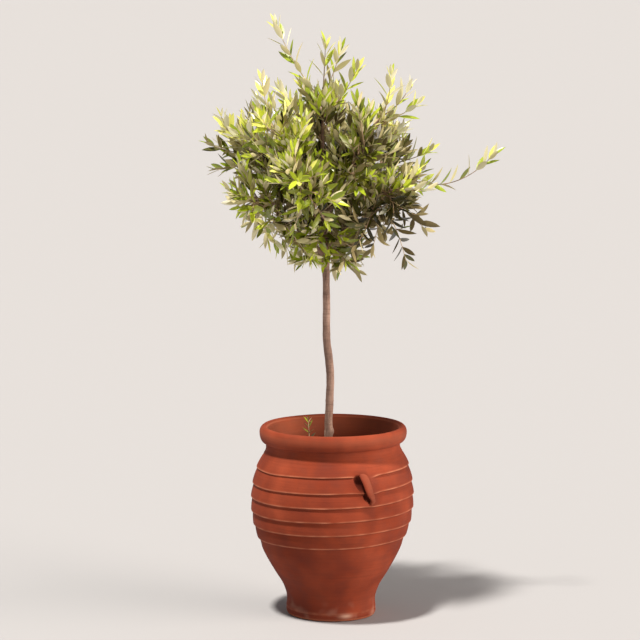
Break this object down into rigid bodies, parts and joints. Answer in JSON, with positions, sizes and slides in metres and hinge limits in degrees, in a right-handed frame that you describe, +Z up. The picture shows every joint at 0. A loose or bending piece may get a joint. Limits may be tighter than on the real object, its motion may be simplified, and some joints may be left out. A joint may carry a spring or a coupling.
{
  "type": "potted olive tree",
  "caption": "Young olive grown as a standard, with a slim bare trunk under a round leafy crown, in a ribbed round-bellied terracotta pot with a rolled rim and small strap lugs.",
  "frame": {"origin": "centre of the pot's flat underside", "axes": "+Z up from the ground, -Y towards one of the two lugs, +X to the right when that lug faces the viewer"},
  "size_m": [0.7863, 0.6437, 1.6246],
  "materials": {
    "terracotta": "matte",
    "potting_soil": "rough",
    "bark": "rough",
    "foliage": "satin"
  },
  "bodies": {
    "root": {"pot": "terracotta", "soil": "potting_soil", "trunk": "bark", "sucker": "foliage", "bough_1": "bark", "bough_2": "bark", "bough_3": "bark", "bough_4": "bark", "bough_5": "bark", "bough_6": "bark", "bough_7": "bark", "bough_8": "bark", "bough_9": "bark", "bough_10": "bark", "foliage_top": "foliage", "foliage_1": "foliage", "foliage_2": "foliage", "foliage_3": "foliage", "foliage_4": "foliage", "foliage_5": "foliage", "foliage_6": "foliage", "foliage_7": "foliage", "foliage_8": "foliage", "foliage_9": "foliage", "foliage_10": "foliage"}
  },
  "joints": []
}
